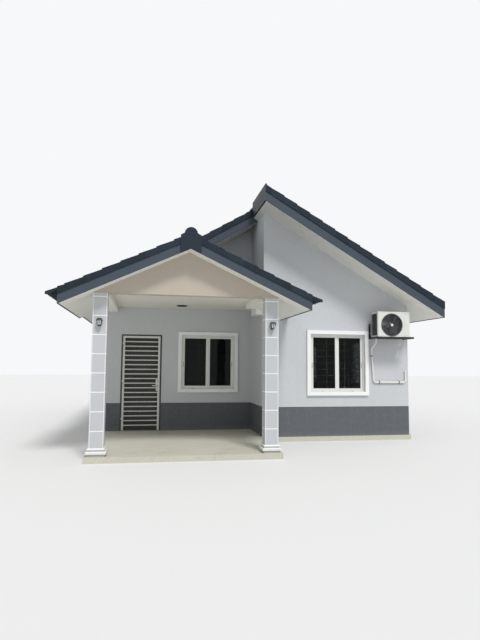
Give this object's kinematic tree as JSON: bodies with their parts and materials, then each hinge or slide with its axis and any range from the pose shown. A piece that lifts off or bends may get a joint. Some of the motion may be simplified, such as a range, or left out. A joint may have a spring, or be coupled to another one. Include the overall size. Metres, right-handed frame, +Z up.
{
  "type": "bungalow",
  "caption": "Single-storey house with a gabled front bay, a gabled porch on square columns, sliding windows and a door behind an outer steel grille.",
  "frame": {"origin": "on the ground under the main ridge, in the plane of the entrance wall's outer face", "axes": "+X to the right along the street front, +Y into the house, +Z up"},
  "size_m": [7.855, 11.996, 5.3296],
  "materials": {
    "concrete": "floated cement, matt",
    "wall_paint": "light cool grey wall paint with a dark grey dado",
    "ceiling_board": "cream white ceiling board, matt",
    "soffit_paint": "cream white paint, matt",
    "roof_tile": "dark slate-blue concrete tile",
    "fascia_paint": "slate grey-blue fascia paint",
    "dark_trim": "dark slate trim",
    "column_paint": "grey paint with white mouldings and lines",
    "surround_paint": "white painted surround",
    "tinted_glass": "dark tinted glass",
    "white_aluminium": "white powder-coated aluminium",
    "white_steel": "white gloss paint on steel",
    "dark_steel": "dark grey paint on the door frame",
    "dark_door": "dark stained timber",
    "handle_metal": "satin",
    "unit_casing": "off-white coated sheet",
    "unit_guard": "pale coated wire",
    "fan_plastic": "dark grey moulded fan",
    "black_steel": "black paint",
    "white_plastic": "white PVC pipe",
    "lamp_cover": "white diffuser in a dark rim"
  },
  "bodies": {
    "house": {"ac_brackets": "black_steel", "ac_casing": "unit_casing", "ac_fan_guard": "unit_guard", "ac_pipe": "white_plastic", "bay_front_wall": "wall_paint", "bay_side_fascia": "dark_trim", "bay_side_wall": "wall_paint", "bay_window_frames": "white_aluminium", "column_lamps": "black_steel", "column_left": "column_paint", "column_right": "column_paint", "door_frame": "dark_steel", "entrance_window_frames": "white_aluminium", "floor_slab": "concrete", "front_wall_left": "wall_paint", "front_wall_over_door": "wall_paint", "front_wall_right": "wall_paint", "inner_ceiling": "ceiling_board", "left_wall": "wall_paint", "left_window_frames": "white_aluminium", "main_eave_fascias": "fascia_paint", "main_rake_fascias": "fascia_paint", "main_ridge_cap": "roof_tile", "main_roof_left": "soffit_paint", "main_roof_right": "soffit_paint", "main_tiles_left": "roof_tile", "main_tiles_right": "roof_tile", "porch_apex_plate": "dark_trim", "porch_beam_left": "soffit_paint", "porch_beam_right": "soffit_paint", "porch_ceiling": "ceiling_board", "porch_ceiling_lamp": "lamp_cover", "porch_corner_box": "soffit_paint", "porch_eave_fascias": "fascia_paint", "porch_pediment": "wall_paint", "porch_rake_fascia": "fascia_paint", "porch_ridge_cap": "roof_tile", "porch_roof_left": "soffit_paint", "porch_roof_right": "soffit_paint", "porch_slab": "concrete", "porch_tiles_left": "roof_tile", "porch_tiles_right": "roof_tile", "rear_wall": "wall_paint", "rear_window_frames": "white_aluminium", "right_wall": "wall_paint", "right_window_frames": "white_aluminium", "window_glass": "tinted_glass", "window_surrounds": "surround_paint"},
    "door": {"door_leaf": "dark_door", "door_handles": "handle_metal"},
    "front_grille": {"grille": "white_steel", "grille_lock": "white_steel"},
    "unit_fan": {"ac_fan": "fan_plastic"}
  },
  "joints": [
    {"name": "grille_hinge", "type": "hinge", "parent": "house", "child": "front_grille", "pos_m": [-2.975, -0.014, 0.1], "axis": [0, 0, -1], "range_deg": [0, 110]},
    {"name": "door_hinge", "type": "hinge", "parent": "house", "child": "door", "pos_m": [-2.975, 0.164, 0.1], "axis": [0, 0, 1], "range_deg": [0, 90]},
    {"name": "fan_spin", "type": "hinge", "parent": "house", "child": "unit_fan", "pos_m": [2.71, -1.74, 2.48], "axis": [0, -1, 0], "continuous": true}
  ]
}
